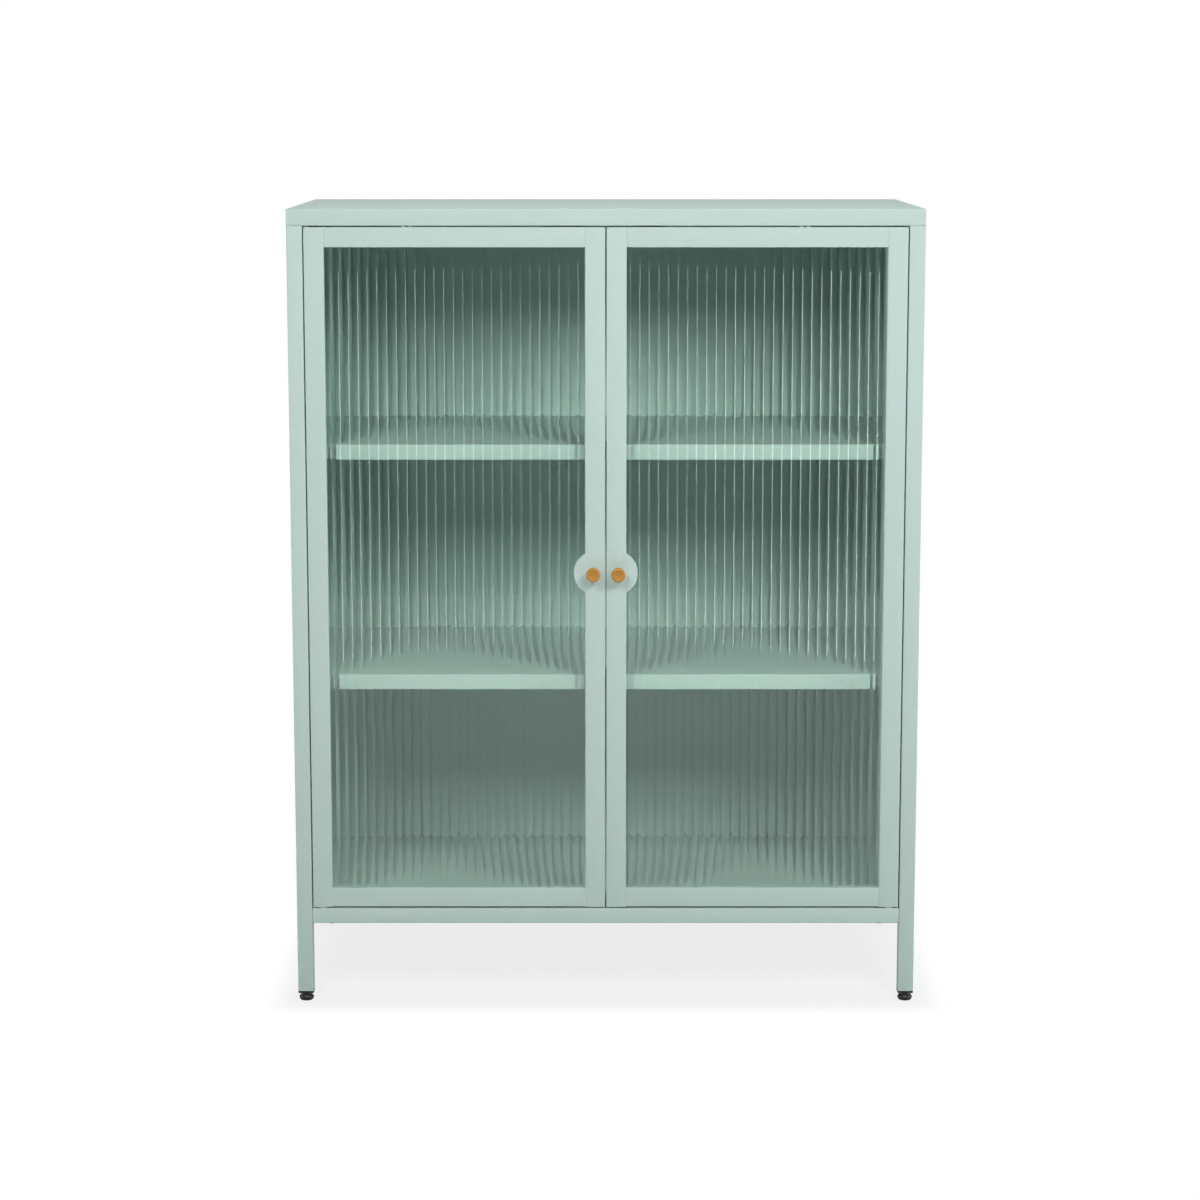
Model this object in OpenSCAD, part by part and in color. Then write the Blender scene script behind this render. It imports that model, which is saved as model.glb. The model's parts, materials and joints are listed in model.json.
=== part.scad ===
// Two-door storage cabinet: steel tube posts, folded sheet panels and shelves,
// glazed doors on pivot pins, and four levelling feet.
// The front faces -Y, the width runs along X, and the feet stand at Z = 0.

/* [Cabinet] */
// Width over the posts
cabinet_w = 800; // [640:10:960]
// Depth from the front of the doors to the back of the rear posts
cabinet_d = 400; // [320:10:500]
// Height from the floor to the top of the top panel
cabinet_h = 1024; // [980:2:1200]
// Height from the floor to the underside of the bottom panel
leg_clear = 104.8; // [80:0.2:130]

/* [Posts] */
// Side of the square post tube
post_w = 20; // [18:1:24]
// Wall of the post tube
post_wall = 1.2; // [1:0.1:1.6]
// Outside corner radius of the post tube
post_r = 1.6; // [0.8:0.1:2]
// Thickness of the plate welded into the top of each post
post_plate = 3; // [2:0.5:5]

/* [Sheet metal] */
// Thickness of the folded sheet
sheet = 1; // [0.8:0.1:1.2]
// Height of the top panel's folded edge
cap_h = 21; // [17:0.5:26]
// Outside bend radius of the top panel
cap_r = 1.6; // [0.8:0.1:2.4]
// Width of the hem under the top panel
cap_hem = 42; // [40:1:50]
// Height of the bottom panel's folded edge
base_h = 20; // [16:0.5:24]
// Width of the hem under the bottom panel
base_hem = 14; // [10:1:20]
// How far the side and back panels stand in from the outside of the posts
panel_inset = 1; // [0.5:0.5:3]
// Depth of the folded edges of the side and back panels
panel_fold = 9; // [8.5:0.5:10]

/* [Shelves] */
// Height of the lower shelf's top above the bottom panel
lower_rise = 303.2; // [260:0.1:320]
// Height of the upper shelf's top above the lower shelf's top
upper_rise = 297.5; // [260:0.1:310]
// Height of a shelf's folded edge
shelf_lip = 20; // [14:0.5:26]
// Width of the hem under a shelf
shelf_hem = 9; // [6:0.5:14]
// Distance from the front of the doors to a shelf's front edge
shelf_back = 27; // [26:0.5:50]
// Width of the notch in a shelf's front corners, from the side panel
notch_w = 44; // [30:1:60]
// Depth of the notch in a shelf's front corners
notch_d = 12; // [6:0.5:20]
// Gap between a shelf and the panels round it
shelf_gap = 1; // [0.4:0.2:2]
// Length of a shelf clip along the side panel
clip_len = 22; // [14:1:30]
// How far a shelf clip reaches under the shelf
clip_reach = 12; // [8:1:18]
// Height of a shelf clip's plate
clip_plate = 16; // [12:1:24]
// Thickness of a shelf clip
clip_t = 1.5; // [1:0.1:2]
// Distance from the shelf's ends to its clips
clip_in = 40; // [30:5:90]

/* [Doors] */
// Thickness of the doors
door_t = 20; // [18:0.5:22]
// Face width of the door frame members
bar_w = 25; // [23:0.5:34]
// Width of the front lip that laps over the glass
lap = 6; // [4:0.5:7]
// Thickness of the front lip
lip_t = 2; // [1.5:0.1:2.5]
// Wall of the door frame members
bar_wall = 1.2; // [1:0.1:1.6]
// Thickness of the end plates of the stiles
stile_plate = 3; // [2:0.5:5]
// Gap between a door and its post
side_gap = 1.5; // [1.4:0.1:2.4]
// Gap between the two doors
mid_gap = 2; // [1.6:0.1:3]
// Gap between a door and the top panel
top_gap = 1.8; // [1.7:0.1:3]
// Gap between a door and the bottom panel
bottom_gap = 1.6; // [1.6:0.1:3.5]
// How far the bottom rail stands back from the ends of the stiles
rail_set = 0.8; // [0.2:0.1:1.5]

/* [Glass] */
// Thickness of the fluted glass
glass_t = 5; // [4:0.5:6]
// Width of one flute
flute_pitch = 12; // [8:0.5:16]
// Depth of one flute
flute_depth = 2.2; // [0.6:0.1:2.4]
// Clearance round the edge of the glass
glass_gap = 0.5; // [0.3:0.1:1]
// Thickness of the glazing tape
tape_t = 0.5; // [0.3:0.1:0.8]
// Depth of the glazing beads
bead_t = 9; // [6:0.5:9]
// Width of the glazing beads
bead_w = 5; // [3:0.5:5]

/* [Pulls] */
// Radius of the round pull plates
pull_r = 28.5; // [24:0.5:34]
// Distance from the middle of the cabinet to the centre of a pull plate
pull_x = 12.3; // [8:0.1:16]
// Height of the pulls above the bottom of the door
pull_rise = 437.6; // [380:0.2:480]
// Distance from the middle of the cabinet to a knob's axis
knob_x = 16; // [14:0.5:16.5]
// Radius of a knob's head
knob_r = 8.75; // [7:0.25:11]
// How far a knob stands out of the door
knob_reach = 21; // [18:1:28]
// Length of a knob's head
knob_head = 10; // [8:0.5:12]
// Radius of a knob's neck
knob_neck_r = 5; // [4.5:0.25:6]
// Rounding of a knob's head
knob_round = 1.5; // [0.5:0.5:3.5]
// Radius of the knob screw
knob_screw_r = 2; // [1.5:0.25:2.5]

/* [Pivots] */
// Radius of the pivot pins
pin_r = 3; // [2:0.25:3]
// Distance from the door's edge to the pivot
pivot_in = 12; // [11:0.5:14]
// Distance from the door's front face to the pivot
pivot_back = 5.5; // [5:0.1:5.6]
// Radial running clearance of the pins in their bushes
pin_run = 0.05; // [0.02:0.01:0.1]
// Length of pin outside the door
pin_out = 9; // [7:0.5:12]
// Length of pin inside the door
pin_in = 14; // [8:1:24]
// Wall of the bushes
bush_wall = 1.15; // [0.8:0.05:1.2]
// How far the flange of a bush stands out of its body
bush_flange = 1; // [0.6:0.1:1.2]
// Length of a bush behind its flange
bush_len = 6; // [4:0.5:8]

/* [Catches] */
// Length of a magnetic catch
catch_w = 44; // [30:1:60]
// Depth of a magnetic catch
catch_d = 14; // [10:0.5:18]
// Height of a magnetic catch
catch_h = 17; // [14:0.5:19]
// Distance from the middle of the cabinet to a catch
catch_x = 32; // [30:1:80]
// Thickness of a strike plate
strike_t = 1.5; // [1:0.1:2]
// Margin of a strike plate inside the catch's face
strike_margin = 2; // [1:0.5:3]

/* [Feet] */
// Height of a levelling foot
foot_h = 10.2; // [9:0.2:16]
// Height of a foot's round pad
pad_h = 8; // [6:0.2:8.6]
// Radius of a foot's round pad
pad_r = 9.5; // [8:0.25:12]
// Radius of a foot's neck
neck_r = 7; // [4:0.25:7.5]
// Length of stud that shows between the foot and the leg
stud_show = 0.9; // [0.9:0.1:6]
// Radius of the foot's stud
stud_r = 3; // [2.5:0.25:4]
// Length of the foot's stud
stud_len = 26; // [24:1:40]
// Radial running clearance of the stud in its plug
stud_run = 0.05; // [0.02:0.01:0.1]
// Thickness of the plug's flange under the leg
plug_flange = 2.6; // [0.6:0.2:3]
// Length of the plug inside the leg
plug_len = 18; // [12:1:24]

/* [Fasteners] */
// Radius of the bolts
bolt_r = 3; // [2:0.25:3]
// Radius of the sheet metal screws
screw_r = 1.6; // [1.2:0.1:1.8]
// Radius of the screw heads
screw_head_r = 3; // [2.5:0.1:3.4]
// Distance between the two wall fixing holes
wall_hole_span = 700; // [400:10:740]
// Radius of the wall fixing holes
wall_hole_r = 2.5; // [2:0.25:3.5]

/* [Hidden] */
$fn = 48;
eps = 0.01;
seat = 0.02;                                  // radial gap of a fastener in its hole
face_gap = 0.3;                               // gap between a door's parts and what they close on

front_y = (knob_reach - cabinet_d) / 2;       // the plane of the door fronts
inner_half = cabinet_w / 2 - post_w;          // from the middle to a post's inner face
leg_end = foot_h + stud_show + plug_flange;   // lower end of the post tubes
base_top = leg_clear + base_h;
cap_z = cabinet_h - cap_h;
panel_h = cap_z - base_top;

hinge_edge = inner_half - side_gap;
door_edge = mid_gap / 2;
door_w = hinge_edge - door_edge;
door_z = base_top + bottom_gap;
door_top = cap_z - top_gap;
door_h = door_top - door_z;
bar_tube = bar_w - lap;                       // width of a member behind its lip
pivot_x = hinge_edge - pivot_in;
pull_z = door_z + pull_rise;

wall_half = cabinet_w / 2 - panel_inset - panel_fold - sheet;    // inner face of a side panel
back_inner = cabinet_d - panel_inset - panel_fold - sheet;       // inner face of the back panel
lower_z = base_top + lower_rise;
upper_z = lower_z + upper_rise;

tape_y = lip_t;
glass_y = tape_y + tape_t;
bead_y = glass_y + glass_t;
pane_x0 = door_edge + bar_tube + glass_gap;
pane_x1 = hinge_edge - bar_tube - glass_gap;
pane_z0 = door_z + rail_set + bar_tube + glass_gap;
pane_z1 = door_top - bar_tube - glass_gap;
flute_r = (flute_pitch * flute_pitch / 4 + flute_depth * flute_depth) / (2 * flute_depth);

bush_r = pin_r + pin_run + bush_wall;
thrust_t = bottom_gap - face_gap;             // thickness of the lower bush's flange
upper_flange_t = top_gap - 2 * face_gap;
strike_y = door_t;
catch_y = strike_y + strike_t + face_gap;
catch_z = cap_z - catch_h;

bolt_head_r = bolt_r * 1.8;
bolt_head_h = bolt_r * 1.2;
bolt_len = 14;
screw_len = 8;
screw_head_h = 1.6;
screw_rows = 3;
screw_end = 60;                               // from a panel's end to its first screw
post_mid = post_w / 2;

pad_mark_t = 1.2;                             // small buffer pads on the doors' top edges
pad_mark_w = 4;
pad_mark_d = 3;
pad_mark_pitch = 9;
pad_mark_x = 136;                             // from the hinge edge

paint = [0.74, 0.82, 0.80];
black = [0.12, 0.13, 0.13];
brass = [0.79, 0.56, 0.27];
zinc = [0.72, 0.73, 0.74];
nylon = [0.90, 0.90, 0.88];
clear = [0.62, 0.76, 0.71, 0.45];

// Moves a piece from the frame with its origin on the door fronts to the cabinet's own
module in_place() translate([0, front_y, 0]) children();

// Pieces are drawn on the right, and mirrored for the left
module on_side(side) mirror([side < 0 ? 1 : 0, 0, 0]) children();

// A block with its low corner at a point
module block(p, s) translate(p) cube(s);

// A cylinder along Y that starts at a point
module rod_y(p, r, len) translate(p) rotate([-90, 0, 0]) cylinder(r = r, h = len);

// A cylinder along X that starts at a point
module rod_x(p, r, len) translate(p) rotate([0, 90, 0]) cylinder(r = r, h = len);

// A rectangle with round corners, its low corner at the origin
module round_rect(w, d, r) {
    translate([r, 0]) square([w - 2 * r, d]);
    translate([0, r]) square([w, d - 2 * r]);
    for (x = [r, w - r], y = [r, d - r]) translate([x, y]) circle(r = r);
}

// Outline of a tray with notched corners, drawn in by an inset all round
module notched_outline(half, y0, y1, front_nx, front_ny, rear_nx, rear_ny, i) {
    fx = half - front_nx - i;
    rx = half - rear_nx - i;
    hx = half - i;
    fy = y0 + front_ny + i;
    ry = y1 - rear_ny - i;
    polygon([
        [-fx, y0 + i], [fx, y0 + i], [fx, fy], [hx, fy], [hx, ry], [rx, ry],
        [rx, y1 - i], [-rx, y1 - i], [-rx, ry], [-hx, ry], [-hx, fy], [-fx, fy]
    ]);
}

// Sheet metal screws in even rows: their heights on a panel
function screw_z(k) = base_top + screw_end + k * (panel_h - 2 * screw_end) / (screw_rows - 1);

// Where the four posts stand: their low corner in X and Y
function post_x(side) = side < 0 ? -cabinet_w / 2 : inner_half;
function post_y(rear) = rear ? cabinet_d - post_w : 0;

// Screw axes shared by panels, posts and screws
function side_screw_x(side) = side * (cabinet_w / 2 - panel_inset - panel_fold / 2);
function back_screw_y() = cabinet_d - panel_inset - panel_fold / 2;
base_bolt_z = leg_clear + base_h / 2;

module post(side, rear) color(paint) in_place() difference() {
    translate([post_x(side), post_y(rear), leg_end])
        linear_extrude(cap_z - leg_end) round_rect(post_w, post_w, post_r);
    block([post_x(side) + post_wall, post_y(rear) + post_wall, leg_end - eps],
          [post_w - 2 * post_wall, post_w - 2 * post_wall, cap_z - post_plate - leg_end + eps]);
    translate([post_x(side) + post_mid, post_y(rear) + post_mid, cap_z - post_plate - eps])
        cylinder(r = bolt_r + seat, h = post_plate + 2 * eps);
    base_bolt(side, rear, bolt_r + seat);
    for (k = [0 : screw_rows - 1]) {
        side_screw(side, rear, k, screw_r + seat);
        if (rear) back_screw(side, k, screw_r + seat);
    }
}

// Shank of a bolt that holds the bottom panel to a post
module base_bolt(side, rear, r) {
    y0 = rear ? cabinet_d - post_w - sheet : post_w + sheet - bolt_len;
    rod_y([post_x(side) + post_mid, y0, base_bolt_z], r, bolt_len);
}

// Shank of a screw that holds a side panel to a post
module side_screw(side, rear, k, r) {
    y0 = rear ? cabinet_d - post_w - sheet : post_w + sheet - screw_len;
    rod_y([side_screw_x(side), y0, screw_z(k)], r, screw_len);
}

// Shank of a screw that holds the back panel to a rear post
module back_screw(side, k, r) {
    x0 = side < 0 ? -inner_half + sheet - screw_len : inner_half - sheet;
    rod_x([x0, back_screw_y(), screw_z(k)], r, screw_len);
}

module leg_plug(side, rear) color(black) in_place()
    translate([post_x(side), post_y(rear), leg_end - plug_flange]) difference() {
        union() {
            linear_extrude(plug_flange) round_rect(post_w, post_w, post_r);
            block([post_wall, post_wall, plug_flange - eps],
                  [post_w - 2 * post_wall, post_w - 2 * post_wall, plug_len + eps]);
        }
        translate([post_mid, post_mid, -eps])
            cylinder(r = stud_r + stud_run, h = plug_flange + plug_len + 2 * eps);
    }

module foot(side, rear) color(black) in_place()
    translate([post_x(side) + post_mid, post_y(rear) + post_mid, 0]) rotate_extrude() {
        square([pad_r - pad_h / 2, pad_h]);
        intersection() {
            translate([pad_r - pad_h / 2, pad_h / 2]) circle(r = pad_h / 2);
            square([pad_r, pad_h]);
        }
        square([neck_r, foot_h]);
        square([stud_r, foot_h + stud_len]);
    }

// The top panel is a closed tray: its outer block has round bends on all edges
module top_panel() color(paint) in_place() difference() {
    translate([-cabinet_w / 2, 0, cap_z]) intersection() {
        linear_extrude(cap_h) round_rect(cabinet_w, cabinet_d, cap_r);
        translate([0, cabinet_d, 0]) rotate([90, 0, 0])
            linear_extrude(cabinet_d) round_rect(cabinet_w, cap_h, cap_r);
        rotate([90, 0, 90]) linear_extrude(cabinet_w) round_rect(cabinet_d, cap_h, cap_r);
    }
    block([-cabinet_w / 2 + sheet, sheet, cap_z + sheet],
          [cabinet_w - 2 * sheet, cabinet_d - 2 * sheet, cap_h - 2 * sheet]);
    block([-cabinet_w / 2 + cap_hem, cap_hem, cap_z - eps],
          [cabinet_w - 2 * cap_hem, cabinet_d - 2 * cap_hem, sheet + 2 * eps]);
    for (side = [-1, 1]) {
        translate([side * pivot_x, pivot_back, cap_z - eps])
            cylinder(r = bush_r + seat, h = sheet + 2 * eps);
        for (rear = [false, true])
            translate([post_x(side) + post_mid, post_y(rear) + post_mid, cap_z - eps])
                cylinder(r = bolt_r + seat, h = sheet + 2 * eps);
        rod_y([side * wall_hole_span / 2, cabinet_d - sheet - eps, cap_z + cap_h / 2],
              wall_hole_r, sheet + 2 * eps);
    }
}

module bottom_outline(i)
    notched_outline(cabinet_w / 2, 0, cabinet_d, post_w, post_w, post_w, post_w, i);

module bottom_panel() color(paint) in_place() difference() {
    translate([0, 0, leg_clear]) linear_extrude(base_h) bottom_outline(0);
    translate([0, 0, leg_clear + sheet]) linear_extrude(base_h - 2 * sheet) bottom_outline(sheet);
    translate([0, 0, leg_clear - eps]) linear_extrude(sheet + 2 * eps) bottom_outline(base_hem);
    for (side = [-1, 1]) {
        translate([side * pivot_x, pivot_back, base_top - sheet - eps])
            cylinder(r = bush_r + seat, h = sheet + 2 * eps);
        for (rear = [false, true]) base_bolt(side, rear, bolt_r + seat);
    }
}

// Web on the inside, folded edges outwards
module side_panel(side) color(paint) in_place() difference() {
    on_side(side) difference() {
        block([wall_half, post_w, base_top],
              [sheet + panel_fold, cabinet_d - 2 * post_w, panel_h]);
        block([wall_half + sheet, post_w + sheet, base_top + sheet],
              [panel_fold + eps, cabinet_d - 2 * post_w - 2 * sheet, panel_h - 2 * sheet]);
    }
    for (k = [0 : screw_rows - 1], rear = [false, true])
        side_screw(side, rear, k, screw_r + seat);
}

module back_panel() color(paint) in_place() difference() {
    block([-inner_half, back_inner, base_top], [2 * inner_half, sheet + panel_fold, panel_h]);
    block([-inner_half + sheet, back_inner + sheet, base_top + sheet],
          [2 * inner_half - 2 * sheet, panel_fold + eps, panel_h - 2 * sheet]);
    for (k = [0 : screw_rows - 1], side = [-1, 1]) back_screw(side, k, screw_r + seat);
}

module shelf_outline(i)
    notched_outline(wall_half - shelf_gap, shelf_back, back_inner - shelf_gap,
                    notch_w - shelf_gap, notch_d,
                    wall_half - inner_half, post_w - (cabinet_d - back_inner), i);

module shelf(top_z) color(paint) in_place() translate([0, 0, top_z - shelf_lip]) difference() {
    linear_extrude(shelf_lip) shelf_outline(0);
    translate([0, 0, sheet]) linear_extrude(shelf_lip - 2 * sheet) shelf_outline(sheet);
    translate([0, 0, -eps]) linear_extrude(sheet + 2 * eps) shelf_outline(shelf_hem);
}

// Each clip is an angle: its ledge lies under the shelf's hem and its plate on the side panel
module shelf_clip(top_z, y) {
    ledge_z = top_z - shelf_lip - clip_t;
    block([wall_half - clip_reach, y, ledge_z], [clip_reach, clip_len, clip_t]);
    block([wall_half - clip_t, y, ledge_z - clip_plate], [clip_t, clip_len, clip_plate + eps]);
}

module shelf_clips() color(zinc) in_place()
    for (side = [-1, 1], top_z = [lower_z, upper_z],
         y = [shelf_back + clip_in, back_inner - clip_in - clip_len])
        on_side(side) shelf_clip(top_z, y);

module top_bolts() color(zinc) in_place()
    for (side = [-1, 1], rear = [false, true])
        translate([post_x(side) + post_mid, post_y(rear) + post_mid, cap_z + sheet]) {
            cylinder(r = bolt_head_r, h = bolt_head_h, $fn = 6);
            translate([0, 0, -bolt_len]) cylinder(r = bolt_r, h = bolt_len + eps);
        }

module bottom_bolts() color(zinc) in_place()
    for (side = [-1, 1], rear = [false, true]) {
        base_bolt(side, rear, bolt_r);
        head_y = rear ? cabinet_d - post_w - sheet - bolt_head_h : post_w + sheet;
        rod_y([post_x(side) + post_mid, head_y, base_bolt_z], bolt_head_r, bolt_head_h);
    }

module side_screws() color(zinc) in_place()
    for (side = [-1, 1], rear = [false, true], k = [0 : screw_rows - 1]) {
        side_screw(side, rear, k, screw_r);
        head_y = rear ? cabinet_d - post_w - sheet - screw_head_h : post_w + sheet;
        rod_y([side_screw_x(side), head_y, screw_z(k)], screw_head_r, screw_head_h);
    }

module back_screws() color(zinc) in_place()
    for (side = [-1, 1], k = [0 : screw_rows - 1]) {
        back_screw(side, k, screw_r);
        head_x = side < 0 ? -inner_half + sheet : inner_half - sheet - screw_head_h;
        rod_x([head_x, back_screw_y(), screw_z(k)], screw_head_r, screw_head_h);
    }

module magnet_catch(side) color(nylon) in_place() on_side(side)
    block([catch_x, catch_y, catch_z], [catch_w, catch_d, catch_h]);

// A flanged bush with its flange below the sheet that holds it
module bush(flange_t) difference() {
    union() {
        cylinder(r = bush_r + bush_flange, h = flange_t);
        cylinder(r = bush_r, h = flange_t + bush_len);
    }
    translate([0, 0, -eps]) cylinder(r = pin_r + pin_run, h = flange_t + bush_len + 2 * eps);
}

module pivot_bushes_upper() color(black) in_place()
    for (side = [-1, 1])
        translate([side * pivot_x, pivot_back, cap_z - upper_flange_t]) bush(upper_flange_t);

module pivot_bushes_lower() color(nylon) in_place()
    for (side = [-1, 1])
        translate([side * pivot_x, pivot_back, base_top + thrust_t])
            mirror([0, 0, 1]) bush(thrust_t);

// Section of a stile: a square tube with a thin lip on its glass side
module stile_section() {
    square([bar_tube, door_t]);
    square([bar_w, lip_t]);
}

module stile_body(at_hinge) {
    x0 = at_hinge ? hinge_edge : door_edge;
    translate([x0, 0, 0]) mirror([at_hinge ? 1 : 0, 0, 0]) difference() {
        translate([0, 0, door_z]) linear_extrude(door_h) stile_section();
        block([bar_wall, bar_wall, door_z + stile_plate],
              [bar_tube - 2 * bar_wall, door_t - 2 * bar_wall, door_h - 2 * stile_plate]);
    }
}

module hinge_stile(side) color(paint) in_place() on_side(side) difference() {
    stile_body(true);
    for (z = [door_z - eps, door_top - stile_plate - eps])
        translate([pivot_x, pivot_back, z])
            cylinder(r = pin_r + seat, h = stile_plate + 2 * eps);
}

// The meeting stile carries the round pull plate, cut off at the door's edge
module meeting_stile(side) color(paint) in_place() on_side(side) difference() {
    union() {
        stile_body(false);
        intersection() {
            rod_y([pull_x, 0, pull_z], pull_r, lip_t);
            block([door_edge, -eps, door_z], [2 * pull_r, lip_t + 2 * eps, door_h]);
        }
    }
    rod_y([knob_x, -eps, pull_z], knob_screw_r + seat, door_t + 2 * eps);
}

// A rail butts between the stiles' lips, and its tube runs on behind them
module rail(side, low_z, glass_above) color(paint) in_place() on_side(side) {
    lip_z = glass_above ? low_z : low_z - lap;
    tube_x0 = door_edge + bar_tube;
    tube_x1 = hinge_edge - bar_tube;
    difference() {
        union() {
            block([door_edge + bar_w, 0, lip_z], [door_w - 2 * bar_w, lip_t, bar_w]);
            block([door_edge + bar_w, 0, low_z], [door_w - 2 * bar_w, door_t, bar_tube]);
            block([tube_x0, lip_t, low_z], [tube_x1 - tube_x0, door_t - lip_t, bar_tube]);
        }
        block([tube_x0 + bar_wall, lip_t + bar_wall, low_z + bar_wall],
              [tube_x1 - tube_x0 - 2 * bar_wall, door_t - lip_t - 2 * bar_wall,
               bar_tube - 2 * bar_wall]);
    }
}

module top_rail(side) rail(side, door_top - bar_tube, false);
module bottom_rail(side) rail(side, door_z + rail_set, true);

// Fluted glass: round grooves side by side on its front
module pane(side) color(clear) in_place() on_side(side) {
    w = pane_x1 - pane_x0;
    flutes = floor(w / flute_pitch);
    first = pane_x0 + (w - (flutes - 1) * flute_pitch) / 2;
    translate([0, 0, pane_z0]) linear_extrude(pane_z1 - pane_z0) difference() {
        translate([pane_x0, glass_y]) square([w, glass_t]);
        for (k = [0 : flutes - 1])
            translate([first + k * flute_pitch, glass_y + flute_depth - flute_r])
                circle(r = flute_r, $fn = 96);
    }
}

// A flat frame round the edge of the glass, in front of it or behind it
module glass_ring(y, t, w) difference() {
    block([pane_x0, y, pane_z0], [pane_x1 - pane_x0, t, pane_z1 - pane_z0]);
    block([pane_x0 + w, y - eps, pane_z0 + w],
          [pane_x1 - pane_x0 - 2 * w, t + 2 * eps, pane_z1 - pane_z0 - 2 * w]);
}

module glazing_tape(side) color(black) in_place() on_side(side)
    glass_ring(tape_y, tape_t, bead_w);

// Four strips behind the glass: the upright ones run full height
module beads(side) color(paint) in_place() on_side(side) {
    for (x = [pane_x0, pane_x1 - bead_w])
        block([x, bead_y, pane_z0], [bead_w, bead_t, pane_z1 - pane_z0]);
    for (z = [pane_z0, pane_z1 - bead_w])
        block([pane_x0 + bead_w, bead_y, z], [pane_x1 - pane_x0 - 2 * bead_w, bead_t, bead_w]);
}

module pivot_pins(side) color(zinc) in_place() on_side(side)
    for (z = [door_z - pin_out, door_top - pin_in])
        translate([pivot_x, pivot_back, z]) cylinder(r = pin_r, h = pin_in + pin_out);

module buffer_pads(side) color(paint) in_place() on_side(side)
    for (k = [0, 1])
        block([hinge_edge - pad_mark_x + k * pad_mark_pitch, 0, door_top],
              [pad_mark_w, pad_mark_d, pad_mark_t]);

module strike_plate(side) color(zinc) in_place() on_side(side)
    block([catch_x + strike_margin, strike_y, catch_z + strike_margin],
          [catch_w - 2 * strike_margin, strike_t, door_top - catch_z - 2 * strike_margin]);

module knob(side) color(brass) in_place() on_side(side)
    translate([knob_x, 0, pull_z]) rotate([90, 0, 0]) rotate_extrude() difference() {
        union() {
            square([knob_neck_r, knob_reach - knob_head + eps]);
            translate([0, knob_reach - knob_head]) {
                square([knob_r - knob_round, knob_head]);
                translate([0, knob_round]) square([knob_r, knob_head - 2 * knob_round]);
                for (z = [knob_round, knob_head - knob_round])
                    translate([knob_r - knob_round, z]) circle(r = knob_round);
            }
        }
        translate([0, -eps]) square([knob_screw_r + seat, knob_reach - knob_head + eps]);
    }

module knob_screw(side) color(zinc) in_place() on_side(side) {
    grip = knob_reach - knob_head - 1;
    rod_y([knob_x, -grip, pull_z], knob_screw_r, grip + door_t + eps);
    rod_y([knob_x, door_t, pull_z], 2 * knob_screw_r, knob_screw_r);
}

post(-1, false);  // post_front_left
post(1, false);  // post_front_right
post(-1, true);  // post_rear_left
post(1, true);  // post_rear_right
leg_plug(-1, false);  // leg_plug_front_left
leg_plug(1, false);  // leg_plug_front_right
leg_plug(-1, true);  // leg_plug_rear_left
leg_plug(1, true);  // leg_plug_rear_right
foot(-1, false);  // foot_front_left
foot(1, false);  // foot_front_right
foot(-1, true);  // foot_rear_left
foot(1, true);  // foot_rear_right
top_panel();
bottom_panel();
back_panel();
side_panel(-1);  // side_panel_left
side_panel(1);  // side_panel_right
shelf(upper_z);  // shelf_upper
shelf(lower_z);  // shelf_lower
shelf_clips();
top_bolts();
bottom_bolts();
side_screws();
back_screws();
magnet_catch(-1);  // magnet_catch_left
magnet_catch(1);  // magnet_catch_right
pivot_bushes_upper();
pivot_bushes_lower();
hinge_stile(-1);  // door_left_hinge_stile
meeting_stile(-1);  // door_left_meeting_stile
top_rail(-1);  // door_left_top_rail
bottom_rail(-1);  // door_left_bottom_rail
pane(-1);  // door_left_glass
glazing_tape(-1);  // door_left_glazing_tape
beads(-1);  // door_left_beads
pivot_pins(-1);  // door_left_pivot_pins
buffer_pads(-1);  // door_left_buffer_pads
strike_plate(-1);  // strike_plate_left
knob(-1);  // knob_left
knob_screw(-1);  // knob_screw_left
hinge_stile(1);  // door_right_hinge_stile
meeting_stile(1);  // door_right_meeting_stile
top_rail(1);  // door_right_top_rail
bottom_rail(1);  // door_right_bottom_rail
pane(1);  // door_right_glass
glazing_tape(1);  // door_right_glazing_tape
beads(1);  // door_right_beads
pivot_pins(1);  // door_right_pivot_pins
buffer_pads(1);  // door_right_buffer_pads
strike_plate(1);  // strike_plate_right
knob(1);  // knob_right
knob_screw(1);  // knob_screw_right
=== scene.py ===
import json
import math

import bmesh
import bpy
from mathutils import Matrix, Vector


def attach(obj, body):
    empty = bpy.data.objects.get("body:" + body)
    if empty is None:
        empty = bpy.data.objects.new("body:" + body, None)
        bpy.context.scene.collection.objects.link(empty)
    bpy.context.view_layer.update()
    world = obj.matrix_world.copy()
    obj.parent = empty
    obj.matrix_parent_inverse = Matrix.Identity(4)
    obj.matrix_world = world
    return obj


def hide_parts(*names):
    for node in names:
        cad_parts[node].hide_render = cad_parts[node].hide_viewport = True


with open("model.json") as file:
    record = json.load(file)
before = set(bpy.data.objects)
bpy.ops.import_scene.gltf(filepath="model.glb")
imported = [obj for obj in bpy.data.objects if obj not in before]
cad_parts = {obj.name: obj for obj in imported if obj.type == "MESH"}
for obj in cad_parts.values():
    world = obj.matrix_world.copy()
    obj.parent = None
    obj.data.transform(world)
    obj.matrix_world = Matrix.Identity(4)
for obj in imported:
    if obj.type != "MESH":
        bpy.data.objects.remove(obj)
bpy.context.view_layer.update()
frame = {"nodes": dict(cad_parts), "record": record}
print("frame loaded:", len(frame["nodes"]), "nodes")

mm = 0.001
frontPlane = -0.1895      # the plane of the door fronts
sharpEdge = math.radians(30)
oneFlat = math.radians(1) # faces that differ by less lie in one plane


def place(x, y, z):       # millimetres from the middle, from the door fronts and from the floor
    return Vector((x * mm, y * mm + frontPlane, z * mm))


# Working with pieces

def putDown():
    if bpy.context.mode != "OBJECT":
        bpy.ops.object.mode_set(mode="OBJECT")
    bpy.ops.object.select_all(action="DESELECT")


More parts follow.
